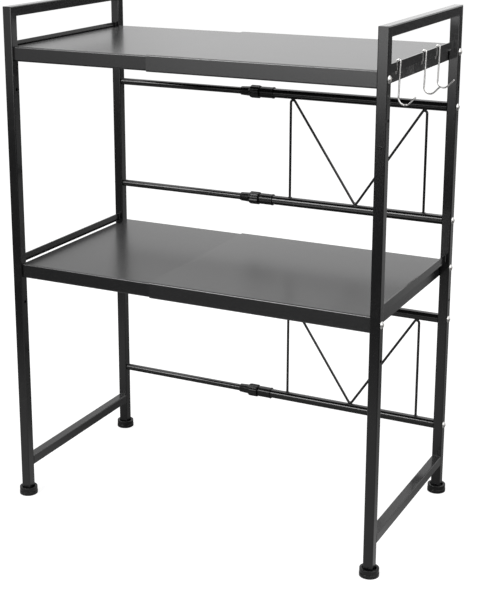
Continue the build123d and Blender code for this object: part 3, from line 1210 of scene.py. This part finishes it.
@dataclass(frozen=True)
class Studio:
    """A plain white studio: a pale floor, soft lamps and a world that is white behind the rack.

    The glows are what a gloss surface mirrors of the floor and of the walls. Each is the
    product of its grades, over the floor's places or over the world's directions.
    """

    ambient: float = 0.45
    floor_size: float = 40.0
    floor_colour: Triple = (0.5, 0.5, 0.5)
    mirrored_colour: Triple = (0.08, 0.08, 0.08)
    floor_strength: float = 0.8
    near_glow: Glow = (Grade(Along.DISTANCE, 0.45, 1.35, 0.34, 0.0),
                       Grade(Along.DEPTH, -0.15, 0.2, 1.0, 0.3))
    front_glow: Glow = (Grade(Along.DEPTH, -6.5, -2.8, 2.75, 0.0),
                        Grade(Along.WIDTH, -3.9, -2.3, 0.2, 1.0))
    rear_glow: Glow = (Grade(Along.DEPTH, 0.5, 1.3, 0.0, 0.2),
                       Grade(Along.DEPTH, 2.4, 4.2, 1.0, 0.15))
    walls: Glow = (Grade(Along.DEPTH, -0.35, 0.25, 0.4, 1.0),
                   Grade(Along.HEIGHT, 0.12, 0.4, 1.0, 0.5),
                   Grade(Along.WIDTH, -0.53, -0.46, 0.85, 1.0))
    ceiling: Glow = (Grade(Along.HEIGHT, 0.45, 0.8, 0.0, 1.1),)
    lamps: tuple[Lamp, ...] = (
        Lamp("key_lamp", (-1.35, -2.6, 2.15), 1.4, 1.4, 48.0, aim=(0.0, 0.0, 0.6)),
        Lamp("fill_lamp", (2.2, -0.8, 1.9), 1.6, 1.6, 16.0),
        Lamp("rear_lamp", (0.2, 1.6, 2.8), 1.6, 1.6, 12.0),
    )

    def build(self) -> None:
        """Makes the floor, the world, the lamps and the camera."""
        bpy.context.scene.view_settings.view_transform = "Standard"
        self.build_floor()
        self.build_world()
        for lamp in self.lamps:
            lamp.build()
        Camera().build()

    def glowing(self, sheet: NodeSheet, place: NodeSocket, *glows: Glow) -> NodeSocket:
        """Adds up glows.

        Args:
            sheet: The material's or the world's nodes.
            place: The places or directions that the grades read.
            *glows: The glows.

        Returns:
            Their strength.
        """
        total: object = 0.0
        for glow in glows:
            strength: object = 1.0
            for grade in glow:
                change = sheet.spread(sheet.measure(place, grade.along), grade.start, grade.end,
                                      grade.before, grade.after)
                strength = sheet.calculate("MULTIPLY", strength, change)
            total = sheet.calculate("ADD", total, strength)
        return total

    def seen(self, sheet: NodeSheet, straight: object, mirrored: object,
             unseen: object) -> NodeSocket:
        """How strong the studio is, by the way in which it is seen.

        Args:
            sheet: The material's or the world's nodes.
            straight: The strength where the camera sees it straight.
            mirrored: The strength in a reflection or through glass.
            unseen: The strength for the light that falls on the rack.

        Returns:
            The strength.
        """
        path = sheet.add("ShaderNodeLightPath").outputs
        mirror = sheet.calculate("MAXIMUM", path["Is Glossy Ray"], path["Is Transmission Ray"])
        strength = unseen
        for seen, value in ((mirror, mirrored), (path["Is Camera Ray"], straight)):
            mix = sheet.add("ShaderNodeMix", seen, data_type="FLOAT")
            sheet.feed(mix.inputs[2], strength)
            sheet.feed(mix.inputs[3], value)
            strength = mix.outputs[0]
        return strength

    def build_floor(self) -> None:
        """Makes a floor that takes the rack's shadow and is white where the camera sees it."""
        bm = bmesh.new()
        bmesh.ops.create_grid(bm, x_segments=1, y_segments=1, size=self.floor_size / 2)
        mesh = bpy.data.meshes.new("floor")
        bm.to_mesh(mesh)
        bm.free()
        floor = bpy.data.objects.new("floor", mesh)
        bpy.context.scene.collection.objects.link(floor)
        mesh.materials.append(self.floor_material())

    def floor_material(self) -> Material:
        """Draws the floor's material, which the camera looks through from below.

        Returns:
            The material.
        """
        material = bpy.data.materials.new("pale_floor")
        material.use_nodes = True
        material.cycles.emission_sampling = "NONE"
        sheet = NodeSheet(material.node_tree)
        shader = material.node_tree.nodes["Principled BSDF"].inputs
        shader["Roughness"].default_value = 1.0
        shader["Specular IOR Level"].default_value = 0.0
        shader["Emission Color"].default_value = WHITE
        path = sheet.add("ShaderNodeLightPath").outputs
        colour = sheet.blend(path["Is Glossy Ray"], self.floor_colour, self.mirrored_colour)
        sheet.feed(shader["Base Color"], colour)
        place = sheet.add("ShaderNodeTexCoord").outputs["Object"]
        shine = self.glowing(sheet, place, self.near_glow, self.front_glow, self.rear_glow)
        sheet.feed(shader["Emission Strength"], self.seen(sheet, self.floor_strength, shine, 0.0))
        underside = sheet.add("ShaderNodeNewGeometry").outputs["Backfacing"]
        from_below = sheet.calculate("MULTIPLY", underside, path["Is Camera Ray"])
        sheet.feed(shader["Alpha"], sheet.calculate("SUBTRACT", 1.0, from_below))
        return material

    def build_world(self) -> None:
        """Makes a world that lights softly and shows plain white."""
        world = bpy.data.worlds.new("white_studio")
        bpy.context.scene.world = world
        world.use_nodes = True
        world.cycles.sampling_method = "NONE"
        sheet = NodeSheet(world.node_tree)
        back = world.node_tree.nodes["Background"]
        back.inputs["Color"].default_value = WHITE
        direction = sheet.add("ShaderNodeTexCoord").outputs["Generated"]
        backdrop = self.glowing(sheet, direction, self.walls, self.ceiling)
        sheet.feed(back.inputs["Strength"], self.seen(sheet, 1.0, backdrop, self.ambient))


def main() -> None:
    """Builds the rack's looks in order and writes how large they are."""
    logging.basicConfig(level=logging.INFO, format="%(name)s: %(message)s")
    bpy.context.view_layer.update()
    CarriedNodes().build()
    for side in Side:
        SideFrame(side).build()
        SideScrews(side).build()
    for number in RODS:
        TwistLock(number).build()
    BraceWelds("upper_brace", upper_rod=1, lower_rod=2).build()
    BraceWelds("lower_brace", upper_rod=3, lower_rod=4).build()
    PostPlug().build()
    for number in HOOKS:
        Hook(number).build()
    for side in Side:
        for end in POST_PLACES:
            LevellingFoot(side.named(end)).build()
    Studio().build()


if __name__ == "__main__":
    main()
